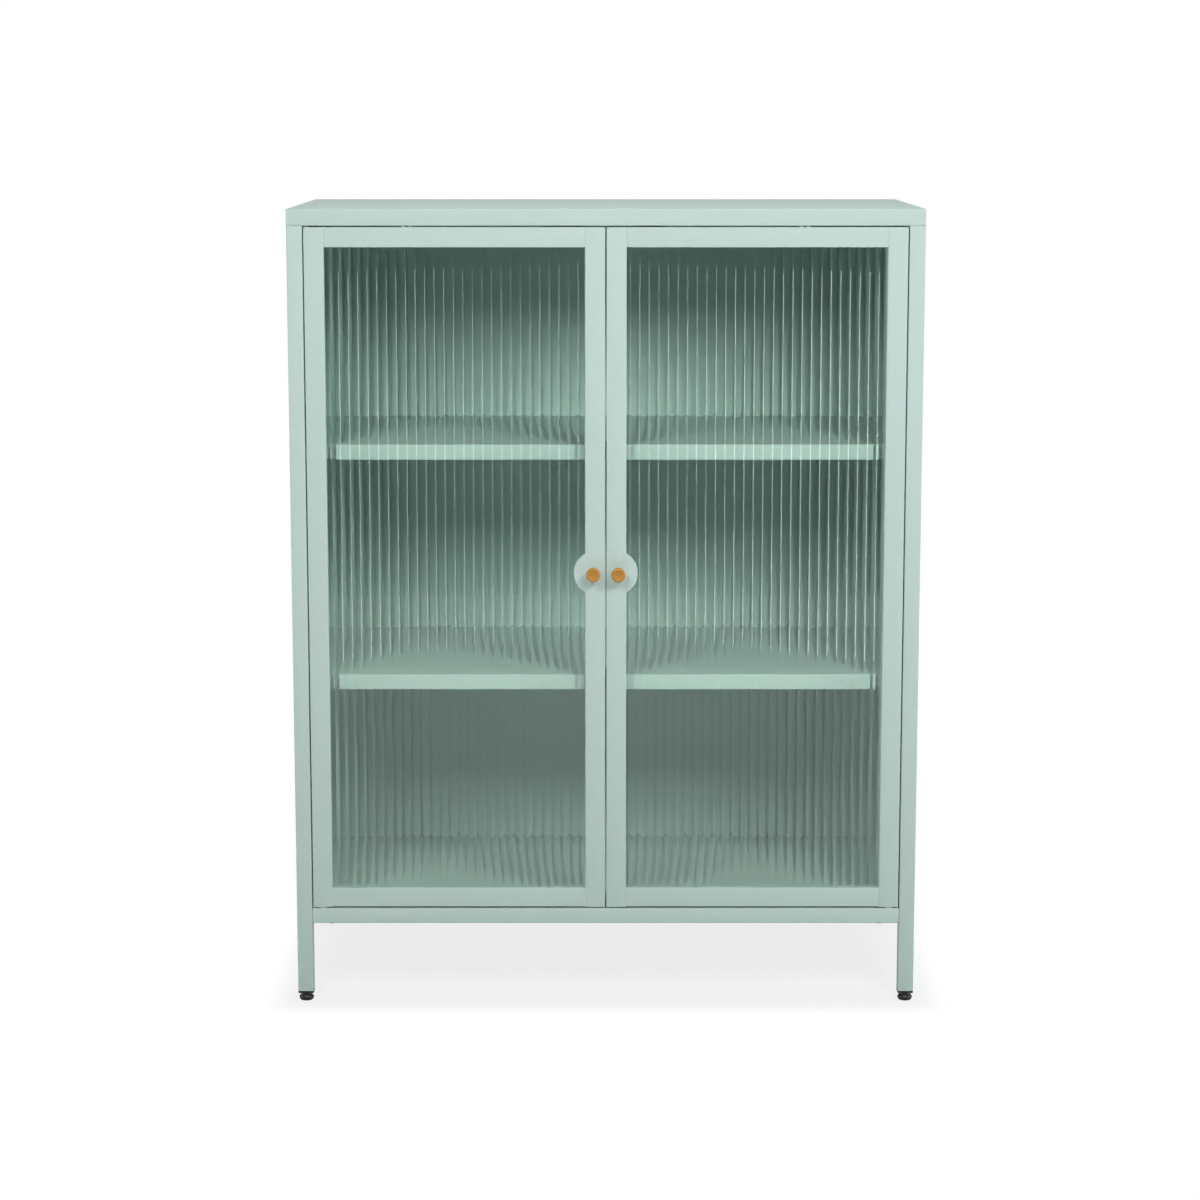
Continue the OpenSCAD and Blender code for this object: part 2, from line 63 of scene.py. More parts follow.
def pickUp(piece):
    putDown()
    piece.select_set(True)
    bpy.context.view_layer.objects.active = piece


def settle(name):         # the new piece keeps its place in its mesh
    piece = bpy.context.object
    piece.name = piece.data.name = name
    bpy.ops.object.transform_apply(location=True, rotation=True, scale=True)
    return piece


def addBlock(name, low, high):
    putDown()
    a, b = place(*low), place(*high)
    bpy.ops.mesh.primitive_cube_add(size=1, location=(a + b) / 2)
    bpy.context.object.scale = b - a
    return settle(name)


def addDisc(name, spot, radius, thick, sides):     # it faces the front
    putDown()
    bpy.ops.mesh.primitive_cylinder_add(vertices=sides, radius=radius * mm, depth=thick * mm,
                                        location=place(*spot), rotation=(math.radians(90), 0, 0))
    return settle(name)


def shape(piece):
    pickUp(piece)
    bpy.ops.object.mode_set(mode="EDIT")


def middle(item):         # of a face or an edge
    if isinstance(item, bmesh.types.BMEdge):
        return (item.verts[0].co + item.verts[1].co) / 2
    return item.calc_center_median()


def pick(kind, test):     # selects by place or direction, in edit mode
    bpy.ops.mesh.select_mode(type=kind)
    bpy.ops.mesh.select_all(action="DESELECT")
    mesh = bpy.context.object.data
    inside = bmesh.from_edit_mesh(mesh)
    for item in {"VERT": inside.verts, "EDGE": inside.edges, "FACE": inside.faces}[kind]:
        if test(item):
            item.select_set(True)
    bmesh.update_edit_mesh(mesh)


def pickAll():
    bpy.ops.mesh.select_all(action="SELECT")


def facing(face, x=0, y=0, z=0):
    return face.normal.dot(Vector((x, y, z))) > 0.99


def upright(edge):        # an upright edge over half a metre long
    return abs(edge.verts[0].co.z - edge.verts[1].co.z) > 0.5


def cut(point, normal, **extra):
    pickAll()
    bpy.ops.mesh.bisect(plane_co=point, plane_no=normal, **extra)


def pull(x=0, y=0, z=0):  # extrudes what is selected, in millimetres
    bpy.ops.mesh.extrude_region_move(TRANSFORM_OT_translate={"value": (x * mm, y * mm, z * mm)})


def pointOut():
    pickAll()
    bpy.ops.mesh.normals_make_consistent(inside=False)


def joinFlat():           # makes one face of those that lie in one plane
    pickAll()
    bpy.ops.mesh.dissolve_limited(angle_limit=oneFlat)


def apply(piece, kind, **settings):
    pickUp(piece)
    modifier = piece.modifiers.new(kind.title(), kind)
    for key, value in settings.items():
        setattr(modifier, key, value)
    bpy.ops.object.modifier_apply(modifier=modifier.name)


def combine(piece, operation, other):              # the other piece is used up
    apply(piece, "BOOLEAN", operation=operation, object=other, solver="EXACT")
    bpy.data.objects.remove(other)


def soften(piece, radius, segments=3):
    apply(piece, "BEVEL", width=radius * mm, segments=segments, limit_method="ANGLE",
          angle_limit=sharpEdge, miter_outer="MITER_ARC")


def smooth(piece, angle=35):
    pickUp(piece)
    bpy.ops.object.shade_smooth_by_angle(angle=math.radians(angle))


def twin(piece, name, shift=(0, 0, 0), mirrored=False):
    pickUp(piece)
    bpy.ops.object.duplicate()
    other = bpy.context.object
    other.location = Vector(shift) * mm
    if mirrored:
        other.scale.x = -1
    settle(name)
    if mirrored:
        shape(other)
        pointOut()
        putDown()
    return other


def atCorners(first, kind, back):      # the piece stands at the front right corner
    return {
        kind + "_front_right": first,
        kind + "_rear_right": twin(first, kind + "RearRight", (0, back, 0)),
        kind + "_front_left": twin(first, kind + "FrontLeft", mirrored=True),
        kind + "_rear_left": twin(first, kind + "RearLeft", (0, back, 0), mirrored=True),
    }


def finished(piece, body, slot, node):
    piece.data.materials.clear()
    piece.data.materials.append(looks[slot])
    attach(piece, body)
    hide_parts(node)


# Shader work

class Wire:               # a socket that can stand in a sum
    def __init__(self, work, socket):
        self.work, self.socket = work, socket

    def sum(self, operation, a, b=0.0):
        return self.work.node("ShaderNodeMath", {"operation": operation}, {0: a, 1: b})

    def __add__(self, other):
        return self.sum("ADD", self, other)

    def __radd__(self, other):
        return self.sum("ADD", other, self)

    def __sub__(self, other):
        return self.sum("SUBTRACT", self, other)

    def __rsub__(self, other):
        return self.sum("SUBTRACT", other, self)

    def __mul__(self, other):
        return self.sum("MULTIPLY", self, other)

    def __rmul__(self, other):
        return self.sum("MULTIPLY", other, self)

    def __pow__(self, other):
        return self.sum("POWER", self, other)

    def __abs__(self):
        return self.sum("ABSOLUTE", self)


class Bench:              # a node tree being worked on
    def __init__(self, tree):
        self.tree = tree
        tree.nodes.clear()

    def node(self, kind, settings=None, inputs=None, out=0):
        made = self.tree.nodes.new(kind)
        for key, value in (settings or {}).items():
            setattr(made, key, value)
        for key, value in (inputs or {}).items():
            if isinstance(value, Wire):
                self.tree.links.new(value.socket, made.inputs[key])
            else:
                made.inputs[key].default_value = value
        return Wire(self, made.outputs[out]) if len(made.outputs) else made


def newLook(name):
    look = bpy.data.materials.new(name)
    look.use_nodes = True
    return look, Bench(look.node_tree)


def noise(bench, coords, scale, detail=2.0, rough=0.5):
    return bench.node("ShaderNodeTexNoise", None,
                      {"Vector": coords, "Scale": scale, "Detail": detail, "Roughness": rough})


def lightPath(bench, question):
    return bench.node("ShaderNodeLightPath", out=question)


def larger(bench, a, b):
    return bench.node("ShaderNodeMath", {"operation": "MAXIMUM"}, {0: a, 1: b})


def objectCoords(bench):
    return bench.node("ShaderNodeTexCoord", out="Object")


def along(bench, coords, axis):
    return bench.node("ShaderNodeSeparateXYZ", None, {0: coords}, axis)


def blendColours(bench, share, a, b):
    return bench.node("ShaderNodeMix", {"data_type": "RGBA"}, {0: share, 6: (*a, 1), 7: (*b, 1)}, out=2)


paintValues = {
    "colour": (0.470, 0.590, 0.556),
    "colourDeep": (0.452, 0.575, 0.541),
    "cloud": 2.6,         # slow change of colour, per metre
    "speck": 1900.0,      # powder grains, per metre
    "peel": 420.0,        # orange peel, per metre
    "cloudShare": 0.6, "speckShare": 0.4,
    "roughness": 0.57, "peelRough": 0.05, "speckRough": 0.02,
    "specular": 0.38,
    "bump": 0.35, "bumpDepth": 0.00004, "speckBump": 0.3,
}


def makePaint():
    look, bench = newLook("powderCoat")
    coords = objectCoords(bench)
    v = paintValues
    cloud = noise(bench, coords, v["cloud"])
    speck = noise(bench, coords, v["speck"], 1.0)
    peel = noise(bench, coords, v["peel"], 1.5, 0.4)
    share = cloud * v["cloudShare"] + speck * v["speckShare"]
    colour = blendColours(bench, share, v["colour"], v["colourDeep"])
    roughness = v["roughness"] + peel * v["peelRough"] + speck * v["speckRough"]
    bump = bench.node("ShaderNodeBump", None, {"Strength": v["bump"], "Distance": v["bumpDepth"],
                                               "Height": peel + speck * v["speckBump"]})
    shader = bench.node("ShaderNodeBsdfPrincipled", None, {
        "Base Color": colour, "Roughness": roughness, "Normal": bump, "Specular IOR Level": v["specular"]})
    bench.node("ShaderNodeOutputMaterial", None, {"Surface": shader})
    return look


glassValues = {
    "tint": (0.89, 0.99, 0.93, 1),
    "shade": (0.985, 1.0, 0.99, 1),   # what light keeps of its colour at each face
    "roughness": 0.0, "seedRough": 0.004,
    "specular": 0.35,
    "index": 1.5,
    "ripple": 14.0,                   # slow waves, per metre
    "rippleDepth": 0.0002,
    "bump": 0.02,
    "seeds": 260.0,                   # uneven spots, per metre
}


def makeGlass():
    look, bench = newLook("flutedGlass")
    coords = objectCoords(bench)
    v = glassValues
    ripple = noise(bench, coords, v["ripple"], 1.0)
    seeds = noise(bench, coords, v["seeds"], 1.0)
    bump = bench.node("ShaderNodeBump", None, {"Strength": v["bump"], "Distance": v["rippleDepth"],
                                               "Height": ripple})
    glass = bench.node("ShaderNodeBsdfPrincipled", None, {
        "Base Color": v["tint"], "Roughness": v["roughness"] + seeds * v["seedRough"], "IOR": v["index"],
        "Transmission Weight": 1.0, "Specular IOR Level": v["specular"], "Normal": bump})
    clear = bench.node("ShaderNodeBsdfTransparent", None, {"Color": v["shade"]})
    shadow = lightPath(bench, "Is Shadow Ray")
    diffuse = lightPath(bench, "Is Diffuse Ray")
    shader = bench.node("ShaderNodeMixShader", None, {0: larger(bench, shadow, diffuse), 1: glass, 2: clear})
    bench.node("ShaderNodeOutputMaterial", None, {"Surface": shader})
    return look


brassValues = {
    "colour": (0.62, 0.32, 0.085),
    "colourWorn": (0.55, 0.275, 0.065),
    "roughness": 0.50, "smudgeRough": 0.1,
    "centre": (0.016, 0.564),     # a knob's axis, across and up, in metres
    "rings": 2600.0,              # turning marks, radians per metre
    "ringDepth": 0.00003,
    "bump": 0.25,
    "smudge": 180.0,              # finger marks, per metre
}


def makeBrass():
    look, bench = newLook("satinBrass")
    coords = objectCoords(bench)
    v = brassValues
    across = abs(along(bench, coords, "X")) - v["centre"][0]
    up = along(bench, coords, "Z") - v["centre"][1]
    radius = (across * across + up * up) ** 0.5
    rings = bench.node("ShaderNodeMath", {"operation": "SINE"}, {0: radius * v["rings"]})
    smudge = noise(bench, coords, v["smudge"])
    bump = bench.node("ShaderNodeBump", None, {"Strength": v["bump"], "Distance": v["ringDepth"],
                                               "Height": rings})
    shader = bench.node("ShaderNodeBsdfPrincipled", None, {
        "Base Color": blendColours(bench, smudge, v["colour"], v["colourWorn"]),
        "Metallic": 1.0, "Roughness": v["roughness"] + smudge * v["smudgeRough"], "Normal": bump})
    bench.node("ShaderNodeOutputMaterial", None, {"Surface": shader})
    return look


plainValues = {           # colour, darker colour, metal, roughness, grain per metre, depth of the grain
    "black_plastic": ((0.016, 0.018, 0.018), (0.010, 0.011, 0.011), 0.0, 0.36, 900.0, 0.00003),
    "zinc_steel": ((0.62, 0.63, 0.64), (0.52, 0.53, 0.54), 1.0, 0.28, 500.0, 0.00002),
    "nylon": ((0.50, 0.58, 0.56), (0.44, 0.52, 0.50), 0.0, 0.39, 700.0, 0.00002),
    "glazing_tape": ((0.020, 0.022, 0.021), (0.012, 0.013, 0.013), 0.0, 0.69, 1200.0, 0.00005),
}
plainWear = {"grainsPerPatch": 12, "patchRough": 0.08, "grainRough": 0.04, "bump": 0.4}


def makePlain(slot):
    colour, deep, metal, roughness, grain, depth = plainValues[slot]
    look, bench = newLook(slot.replace("_", " ").title().replace(" ", ""))
    coords = objectCoords(bench)
    v = plainWear
    grainMap = noise(bench, coords, grain)
    patch = noise(bench, coords, grain / v["grainsPerPatch"])
    bump = bench.node("ShaderNodeBump", None, {"Strength": v["bump"], "Distance": depth, "Height": grainMap})
    shader = bench.node("ShaderNodeBsdfPrincipled", None, {
        "Base Color": blendColours(bench, patch, colour, deep), "Metallic": metal,
        "Roughness": roughness + patch * v["patchRough"] + grainMap * v["grainRough"], "Normal": bump})
    bench.node("ShaderNodeOutputMaterial", None, {"Surface": shader})
    return look


looks = {slot: makePlain(slot) for slot in plainValues}
looks.update({"paint": makePaint(), "fluted_glass": makeGlass(), "brass": makeBrass()})
print("finishes made:", len(looks))


# Camera, light and floor

cameraValues = {
    "spot": (-0.0074, -4.0195, 1.15),
    "down": 9.205,        # degrees
    "lens": 91.35,
    "sensor": 36,
    "reach": 60,          # how far it sees, in metres
}

lightValues = {           # place, aim, width, height, watts
    "keyLeft": ((-0.75, -2.04, 1.78), (-0.25, -0.19, 0.40), 0.45, 0.76, 21.1),
    "keyRight": ((0.85, -2.04, 1.78), (0.25, -0.19, 0.40), 0.45, 0.76, 27.1),
    "topLight": ((0.0, 0.1, 3.4), (0.0, 0.0, 1.0), 2.2, 1.6, 20.0),
    "leftLight": ((-2.6, -0.80, 0.42), (0.0, -0.15, 0.35), 0.8, 0.8, 12.0),
    "rightLight": ((2.6, -0.80, 0.42), (0.0, -0.15, 0.35), 0.8, 0.8, 18.0),
    "backLight": ((0.3, 3.2, 0.62), (0.0, 0.2, 0.60), 2.2, 0.8, 36.0),
}

roomValues = {
    "fill": 0.42,         # light from all round on matt surfaces
    "front": 0.02,        # share of it that comes from behind the camera
    "glossFront": 0.05,   # what shiny surfaces see behind the camera
    "dusk": (-0.5, 0.15), # directions along the depth between which that light fades in
}

floorValues = {
    "size": (12, 10), "middle": (0, 1.5),       # metres
    "grey": 0.64, "greyDeep": 0.62, "patch": 1.2,
    "footprint": (0.40, 0.20),   # half the width and depth of the shade under the cabinet
    "shadeFade": 0.05,
    "shade": 0.21,        # how much of the real floor shows there
}


def makeCamera():
    putDown()
    bpy.ops.object.camera_add(location=cameraValues["spot"],
                              rotation=(math.radians(90 - cameraValues["down"]), 0, 0))
    camera = bpy.context.object
    camera.name = "photoCamera"
    camera.data.lens = cameraValues["lens"]
    camera.data.sensor_width = cameraValues["sensor"]
    camera.data.clip_end = cameraValues["reach"]
    bpy.context.scene.camera = camera


def makeLights():
    for name, (spot, aim, width, height, watts) in lightValues.items():
        putDown()
        bpy.ops.object.light_add(type="AREA", location=spot)
        lamp = bpy.context.object
        lamp.name = name
        lamp.data.shape = "RECTANGLE"
        lamp.data.size, lamp.data.size_y, lamp.data.energy = width, height, watts
        lamp.rotation_euler = (Vector(aim) - Vector(spot)).to_track_quat("-Z", "Y").to_euler()
        lamp.visible_camera = lamp.visible_transmission = False


def makeRoom():
    room = bpy.data.worlds.new("studioRoom")
    bpy.context.scene.world = room
    room.use_nodes = True
    bench = Bench(room.node_tree)
    v = roomValues
    direction = bench.node("ShaderNodeTexCoord", out="Generated")
    behind = bench.node("ShaderNodeMapRange", {"interpolation_type": "SMOOTHSTEP"},
                        {"Value": along(bench, direction, "Y"), "From Min": v["dusk"][0],
                         "From Max": v["dusk"][1], "To Min": 0.0, "To Max": 1.0})
    camera = lightPath(bench, "Is Camera Ray")
    shiny = larger(bench, lightPath(bench, "Is Glossy Ray"), lightPath(bench, "Is Transmission Ray"))
    matt = v["fill"] * (v["front"] + behind * (1 - v["front"]))
    mirror = v["glossFront"] + behind * (1 - v["glossFront"])
    level = matt + shiny * (mirror - matt)
    strength = level + camera * (1.0 - level)
    background = bench.node("ShaderNodeBackground", None, {"Color": (1, 1, 1, 1), "Strength": strength})
    bench.node("ShaderNodeOutputWorld", None, {"Surface": background})


def makeFloor():
    v = floorValues
    putDown()
    bpy.ops.mesh.primitive_plane_add(size=1, location=(*v["middle"], 0))
    bpy.context.object.scale = (*v["size"], 1)
    floor = settle("studioFloor")
    look, bench = newLook("floorWhite")
    coords = objectCoords(bench)
    patch = noise(bench, coords, v["patch"])
    matt = bench.node("ShaderNodeBsdfDiffuse", None,
                      {"Color": blendColours(bench, patch, (v["grey"],) * 3, (v["greyDeep"],) * 3)})
    white = bench.node("ShaderNodeEmission", None, {"Color": (1, 1, 1, 1), "Strength": 1.0})
    outside = [larger(bench, abs(along(bench, coords, axis)) - half, 0.0)
               for axis, half in zip("XY", v["footprint"])]
    far = (outside[0] * outside[0] + outside[1] * outside[1]) ** 0.5
    plain = bench.node("ShaderNodeMapRange", {"interpolation_type": "SMOOTHSTEP"},
                       {"Value": far, "From Min": 0.0, "From Max": v["shadeFade"],
                        "To Min": 1.0 - v["shade"], "To Max": 1.0})
    seen = larger(bench, lightPath(bench, "Is Camera Ray"), lightPath(bench, "Is Transmission Ray"))
    shader = bench.node("ShaderNodeMixShader", None, {0: seen * plain, 1: matt, 2: white})
    bench.node("ShaderNodeOutputMaterial", None, {"Surface": shader})
    floor.data.materials.append(look)


bpy.context.scene.view_settings.view_transform = "Standard"
makeCamera()
makeLights()
makeRoom()
makeFloor()
print("studio set up")


# Folded sheet metal

sheetValues = {"sheet": 1.0, "bend": 1.2}


def foldSheet(piece, bend=sheetValues["bend"]):
    soften(piece, bend, segments=4)
    apply(piece, "SOLIDIFY", thickness=sheetValues["sheet"] * mm, offset=-1, use_even_offset=True)


def hollow(hem, x=0, y=0, z=0):      # opens one face of a shell, and leaves a hem round it
    pick("FACE", lambda f: facing(f, x, y, z))
    if hem:
        bpy.ops.mesh.inset(thickness=hem * mm, depth=0)
    bpy.ops.mesh.delete(type="FACE")


topValues = {"low": (-400, 0, 1003), "high": (400, 400, 1024), "hem": 42.0,
             "holeX": 350.0, "holeRadius": 2.5, "holeZ": 1013.5, "drill": 8.0}


def makeTopPanel():
    v = topValues
    panel = addBlock("topPanel", v["low"], v["high"])
    shape(panel)
    hollow(v["hem"], z=-1)
    putDown()
    foldSheet(panel)
    for side in (-1, 1):
        spot = (side * v["holeX"], v["high"][1], v["holeZ"])
        combine(panel, "DIFFERENCE", addDisc("drill", spot, v["holeRadius"], v["drill"], sides=32))
    smooth(panel)
    finished(panel, "carcass", "paint", "top_panel")


def notchedTray(name, half, front, back, top, height, hem, frontNotch, rearNotch, bend):
    putDown()
    bpy.ops.mesh.primitive_plane_add(size=1, location=place(0, (front + back) / 2, top))
    bpy.context.object.scale = (2 * half * mm, (back - front) * mm, 1)
    tray = settle(name)
    shape(tray)
    for notch in (frontNotch, rearNotch):
        for side in (-1, 1):
            cut(place(side * (half - notch[0]), 0, 0), (1, 0, 0))
    cut(place(0, front + frontNotch[1], 0), (0, 1, 0))
    cut(place(0, back - rearNotch[1], 0), (0, 1, 0))

    def inNotch(face):
        spot = middle(face)
        across, deep = abs(spot.x) / mm, (spot.y - frontPlane) / mm
        return (across > half - frontNotch[0] and deep < front + frontNotch[1]
                or across > half - rearNotch[0] and deep > back - rearNotch[1])

    pick("FACE", inNotch)
    bpy.ops.mesh.delete(type="FACE")
    joinFlat()
    pickAll()
    pull(z=-height)
    pointOut()
    hollow(hem, z=-1)
    putDown()
    foldSheet(tray, bend)
    smooth(tray)
    return tray


bottomValues = {"half": 400, "front": 0, "back": 400, "top": 124.8, "height": 20, "hem": 14,
                "frontNotch": (20, 20), "rearNotch": (20, 20), "bend": 1.5}
shelfValues = {"half": 388, "front": 27, "back": 388, "height": 20, "hem": 9,
               "frontNotch": (43, 12), "rearNotch": (9, 9), "bend": 1.8}
shelfTops = {"Lower": 428.0, "Upper": 725.5}


def makeTrays():
    finished(notchedTray("bottomPanel", **bottomValues), "carcass", "paint", "bottom_panel")
    for level, top in shelfTops.items():
        shelf = notchedTray("shelf" + level, top=top, **shelfValues)
        finished(shelf, "carcass", "paint", "shelf_" + level.lower())


panelValues = {"side": ((389, 20, 124.8), (399, 380, 1003)), "back": ((-380, 389, 124.8), (380, 399, 1003))}


def makePanels():
    right = addBlock("sidePanelRight", *panelValues["side"])
    shape(right)
    hollow(0, x=1)
    putDown()
    foldSheet(right)
    smooth(right)
    left = twin(right, "sidePanelLeft", mirrored=True)
    back = addBlock("backPanel", *panelValues["back"])
    shape(back)
    hollow(0, y=1)
    putDown()
    foldSheet(back)
    smooth(back)
    for piece, node in ((right, "side_panel_right"), (left, "side_panel_left"), (back, "back_panel")):
        finished(piece, "carcass", "paint", node)


postValues = {"width": 20.0, "low": 13.7, "high": 1003.0, "radius": 1.6, "end": 0.4,
              "half": 400, "depth": 400}    # of the cabinet


def makePosts():
    v = postValues
    first = addBlock("postFrontRight", (v["half"] - v["width"], 0, v["low"]),
                     (v["half"], v["width"], v["high"]))
    shape(first)
    pick("EDGE", upright)
    bpy.ops.mesh.bevel(offset=v["radius"] * mm, segments=4, affect="EDGES")
    pick("FACE", lambda f: facing(f, z=1) or facing(f, z=-1))
    bpy.ops.mesh.bevel(offset=v["end"] * mm, segments=2, affect="EDGES")
    putDown()
    smooth(first)
    for node, post in atCorners(first, "post", v["depth"] - v["width"]).items():
        finished(post, "carcass", "paint", node)


makeTopPanel()
makeTrays()
makePanels()
makePosts()
print("sheet metal and posts made")


# Door frames

doorValues = {
    "inner": 1.0, "outer": 378.5, "low": 126.4, "high": 1001.2, "thick": 20.0,
    "tube": 19.0, "lap": 6.0, "lip": 2.0, "railSet": 0.8, "edge": 0.45,
    "plateX": 12.3, "plateZ": 564.0, "plateRadius": 28.5,
}


def addLip(x=0, z=0):     # the thin front lip grows out of the tube's front strip
    v = doorValues
    cut(place(0, v["lip"], 0), (0, 1, 0))
    lipEnd = frontPlane + v["lip"] * mm
    pick("FACE", lambda f: facing(f, x, 0, z) and middle(f).y < lipEnd)
    pull(x * v["lap"], 0, z * v["lap"])


def makeStile(name, low, high, side):
    v = doorValues
    stile = addBlock(name, (low, 0, v["low"]), (high, v["thick"], v["high"]))
    shape(stile)
    addLip(x=side)
    putDown()
    return stile


def addPlate(stile):      # the round pull plate, cut off along the door's edge
    v = doorValues
    spot = (v["plateX"], v["lip"] / 2, v["plateZ"])
    plate = addDisc("plate", spot, v["plateRadius"], v["lip"], sides=96)
    shape(plate)
    cut(place(v["inner"], 0, 0), (1, 0, 0), use_fill=True, clear_inner=True)
    putDown()
    combine(stile, "UNION", plate)
    shape(stile)
    joinFlat()
    pointOut()
    putDown()


def makeRail(name, low, side):
    v = doorValues
    left, right = v["inner"] + v["tube"] + v["lap"], v["outer"] - v["tube"] - v["lap"]
    rail = addBlock(name, (left, 0, low), (right, v["thick"], low + v["tube"]))
    shape(rail)
    addLip(z=side)
    lipEnd = frontPlane + v["lip"] * mm
    for way in (-1, 1):   # the tube runs on behind the stiles' lips
        pick("FACE", lambda f: facing(f, way) and middle(f).y > lipEnd)
        pull(way * v["lap"])
    putDown()
    return rail


def makeDoorFrames():
    v = doorValues
    hinge = makeStile("doorRightHingeStile", v["outer"] - v["tube"], v["outer"], -1)
    meeting = makeStile("doorRightMeetingStile", v["inner"], v["inner"] + v["tube"], 1)
    addPlate(meeting)
    top = makeRail("doorRightTopRail", v["high"] - v["tube"], -1)
    bottom = makeRail("doorRightBottomRail", v["low"] + v["railSet"], 1)
    members = {"hinge_stile": hinge, "meeting_stile": meeting, "top_rail": top, "bottom_rail": bottom}
    for member, piece in members.items():
        soften(piece, v["edge"])
        smooth(piece)
        other = twin(piece, piece.name.replace("Right", "Left"), mirrored=True)
        finished(piece, "door_right", "paint", "door_right_" + member)
        finished(other, "door_left", "paint", "door_left_" + member)


makeDoorFrames()
print("door frames made")


# Fluted glass

paneValues = {
    "inner": 20.5, "outer": 359.0, "low": 146.7, "high": 981.7, "front": 2.5, "thick": 5.0,
    "pitch": 12.0, "depth": 2.2, "columns": 20,
    "round": 0.4, "sharp": 20,                  # the rounding of the ridges, and their least angle
    "slack": 0.1, "merge": 0.02,
    "cuspRight": 354.1, "cuspLeft": -346.8,     # one flute edge on each door
}


def makePane(name, low, high, cusp):
    v = paneValues
    first = cusp - math.ceil((cusp - low) / v["pitch"]) * v["pitch"]
    count = math.ceil((high - first) / v["pitch"])
    slack = v["slack"] * mm
    putDown()
    centre = place(first + v["pitch"] / 2, v["front"], (v["low"] + v["high"]) / 2)
    bpy.ops.mesh.primitive_plane_add(size=1, location=centre, rotation=(math.radians(90), 0, 0))
    bpy.context.object.scale = (v["pitch"] * mm, (v["high"] - v["low"]) * mm, 1)
    pane = settle(name)
    shape(pane)
    step = v["pitch"] / v["columns"]
    for column in range(1, v["columns"]):
        cut(place(first + column * step, 0, 0), (1, 0, 0))
    radius = (v["pitch"] ** 2 / 4 + v["depth"] ** 2) / (2 * v["depth"])
    for column in range(1, v["columns"]):
        offset = column * step - v["pitch"] / 2
        sink = v["depth"] - radius + math.sqrt(radius ** 2 - offset ** 2)
        x = place(first + column * step, 0, 0).x
        pick("VERT", lambda p: abs(p.co.x - x) < slack)
        bpy.ops.transform.translate(value=(0, sink * mm, 0))
    putDown()
    apply(pane, "ARRAY", count=count, use_relative_offset=False, use_constant_offset=True,
          constant_offset_displace=(v["pitch"] * mm, 0, 0), use_merge_vertices=True,
          merge_threshold=v["merge"] * mm)
    shape(pane)
    cut(place(low, 0, 0), (1, 0, 0), clear_inner=True)
    cut(place(high, 0, 0), (1, 0, 0), clear_outer=True)
    pickAll()
    pull(y=v["thick"])
    bpy.ops.transform.resize(value=(1, 0, 1), center_override=place(0, v["front"] + v["thick"], 0))
    pointOut()
    back = frontPlane + (v["front"] + v["thick"]) * mm
    pick("EDGE", lambda e: upright(e) and middle(e).y < back - slack
         and low + v["round"] < (middle(e).x / mm) < high - v["round"]
         and e.calc_face_angle(0) > math.radians(v["sharp"]))
    bpy.ops.mesh.bevel(offset=v["round"] * mm, segments=3, affect="EDGES")
    putDown()
    smooth(pane, angle=30)
    return pane


def makePanes():
    v = paneValues
    right = makePane("doorRightGlass", v["inner"], v["outer"], v["cuspRight"])
    left = makePane("doorLeftGlass", -v["outer"], -v["inner"], v["cuspLeft"])
    finished(right, "door_right", "fluted_glass", "door_right_glass")
    finished(left, "door_left", "fluted_glass", "door_left_glass")


makePanes()
print("glass made")


# Turned pieces

def turn(name, rings, sides):        # rings of radius and height, from a disc upwards
    putDown()
    bpy.ops.mesh.primitive_circle_add(vertices=sides, radius=rings[0][0] * mm, fill_type="NGON",
                                      location=(0, 0, rings[0][1] * mm))
    piece = settle(name)
    shape(piece)
    pickAll()
    for (radius, height), (nextRadius, nextHeight) in zip(rings, rings[1:]):
        pull(z=nextHeight - height)
        share = nextRadius / radius
        if abs(share - 1) > 1e-6:
            bpy.ops.transform.resize(value=(share, share, 1), center_override=(0, 0, nextHeight * mm))
    pointOut()
    putDown()
    return piece


knobValues = {
    "x": 16.0, "z": 564.0, "neck": 5.0, "radius": 8.75, "reach": 21.0, "head": 10.0,
    "round": 1.5, "roundSteps": 6, "neckEnd": 0.3,
    "collar": (0.8, 0.9, 1.3),    # how far it stands out, and where it ends and meets the neck
    "dish": (0.15, 0.3),          # how deep the face sinks at its rim and middle
    "dishRim": 0.6, "dishMiddle": 0.8,
    "sides": 64,
}


def makeKnobs():
    v = knobValues
    start = v["reach"] - v["head"]
    out, collarEnd, neckStart = v["collar"]
    rings = [(v["neck"] + out, 0), (v["neck"] + out, collarEnd),
             (v["neck"], neckStart), (v["neck"], start - v["neckEnd"])]
    face = v["radius"] - v["round"]
    for middleZ, turnFrom in ((start + v["round"], -90), (v["reach"] - v["round"], 0)):
        for k in range(v["roundSteps"] + 1):
            angle = math.radians(turnFrom + 90 * k / v["roundSteps"])
            rings.append((face + v["round"] * math.cos(angle), middleZ + v["round"] * math.sin(angle)))
    rings += [(face - v["dishRim"], v["reach"] - v["dish"][0]), (v["dishMiddle"], v["reach"] - v["dish"][1])]
    knob = turn("knobRight", rings, v["sides"])
    knob.rotation_euler = (math.radians(90), 0, 0)
    knob.location = place(v["x"], 0, v["z"])
    pickUp(knob)
    settle("knobRight")
    smooth(knob, angle=40)
    other = twin(knob, "knobLeft", mirrored=True)
    finished(knob, "door_right", "brass", "knob_right")
    finished(other, "door_left", "brass", "knob_left")


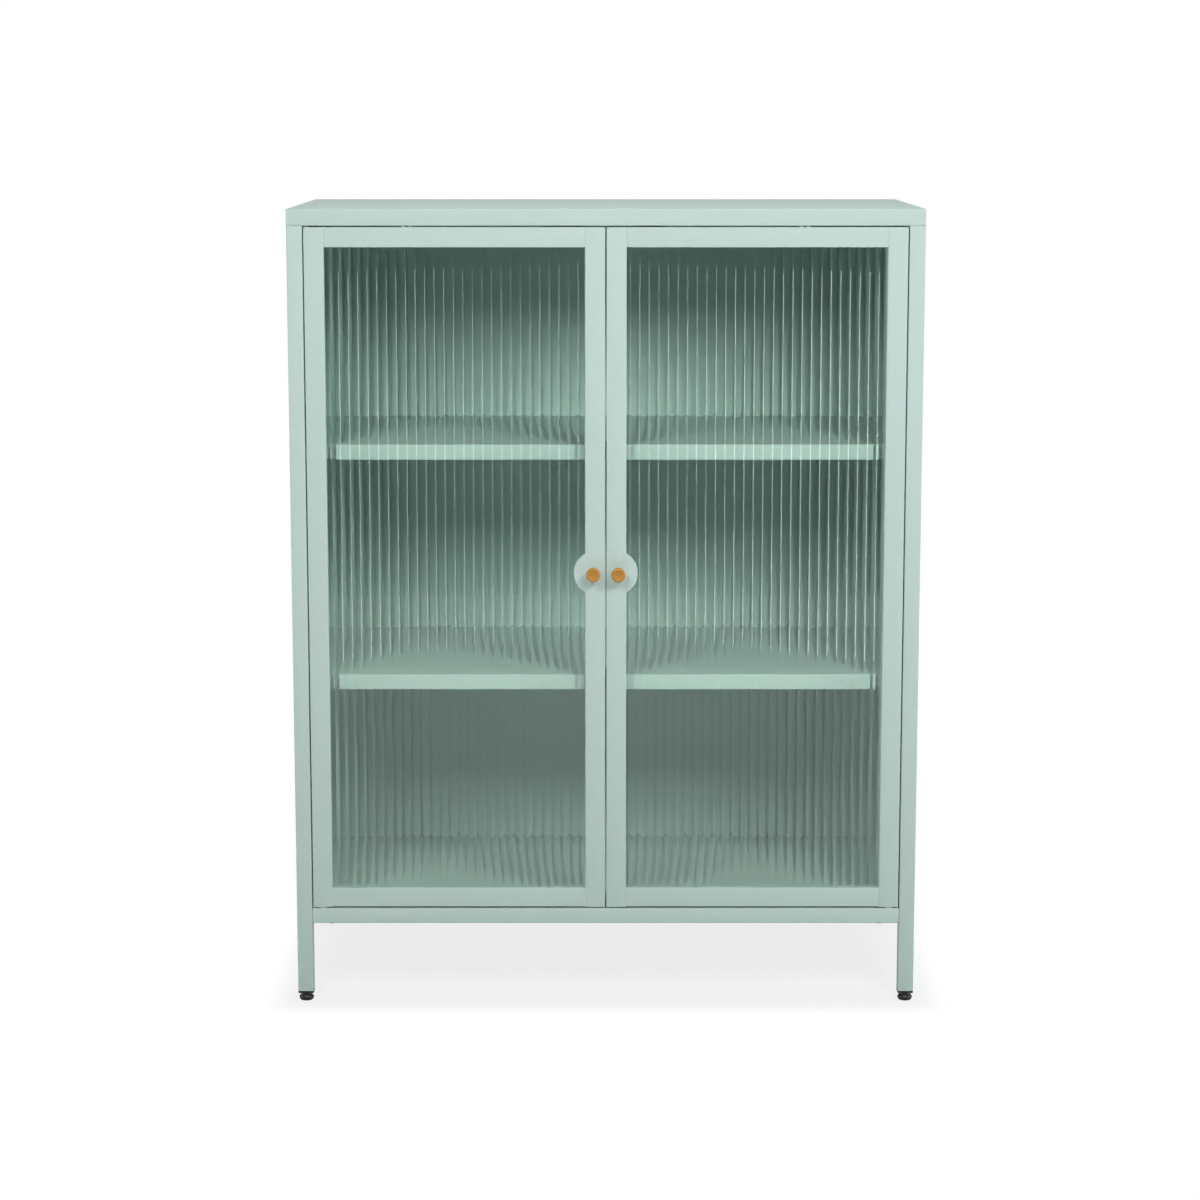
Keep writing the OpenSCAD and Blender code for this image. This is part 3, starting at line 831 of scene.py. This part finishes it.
footValues = {
    "pad": [(6.4, 0), (7.9, 0.5), (8.9, 1.7), (9.4, 3.2), (9.5, 4.2), (9.2, 5.6), (8.4, 6.8), (7.3, 7.7),
            (7.0, 8.2), (7.0, 9.7), (6.8, 10.1), (6.5, 10.2)],
    "studStart": 10.22, "stud": 3.0, "root": 2.72,
    "threadStart": 10.7, "pitch": 1.0, "crest": (0.4, 0.6), "turns": 25,   # a crest's place in each pitch
    "x": 390.0, "front": 10.0, "rear": 390.0, "sides": 40,
}


def makeFeet():
    v = footValues
    rings = list(v["pad"]) + [(v["root"], v["studStart"])]
    for k in range(v["turns"]):
        base = v["threadStart"] + k * v["pitch"]
        crests = [(v["stud"], base + crest) for crest in v["crest"]]
        rings += [(v["root"], base), *crests, (v["root"], base + v["pitch"])]
    foot = turn("footFrontRight", rings, v["sides"])
    foot.location = place(v["x"], v["front"], 0)
    pickUp(foot)
    settle("footFrontRight")
    smooth(foot, angle=40)
    for node, piece in atCorners(foot, "foot", v["rear"] - v["front"]).items():
        finished(piece, node, "black_plastic", node)


catchValues = {"low": (32, 21.8, 986), "high": (76, 35.8, 1003), "rim": 2.4, "sink": 0.5, "edge": 0.4}


def makeCatches():
    v = catchValues
    catch = addBlock("magnetCatchRight", v["low"], v["high"])
    shape(catch)
    pick("FACE", lambda f: facing(f, y=-1))
    bpy.ops.mesh.inset(thickness=v["rim"] * mm, depth=0)
    pull(y=v["sink"])
    putDown()
    soften(catch, v["edge"], segments=2)
    smooth(catch)
    other = twin(catch, "magnetCatchLeft", mirrored=True)
    finished(catch, "carcass", "nylon", "magnet_catch_right")
    finished(other, "carcass", "nylon", "magnet_catch_left")


makeKnobs()
makeFeet()
makeCatches()
print("turned and moulded pieces made")


# Small pieces of the frame that stay

edgeValues = {"beads": 0.4, "clips": 0.3, "strike_plate": 0.2, "buffer_pads": 0.4, "leg_plug": 0.25}
weldReach = 0.01

for part in frame["record"]["subparts"]:
    node = frame["nodes"][part["node"]]
    if node.hide_render:
        continue
    node.data.materials.clear()
    node.data.materials.append(looks[part["material_slot"]])
    for word, radius in edgeValues.items():
        if word in part["node"]:
            weld = node.modifiers.new("weld", "WELD")
            weld.merge_threshold = weldReach * mm
            bevel = node.modifiers.new("edges", "BEVEL")
            bevel.width, bevel.segments = radius * mm, 2
            bevel.limit_method, bevel.angle_limit = "ANGLE", sharpEdge
print("small pieces finished")
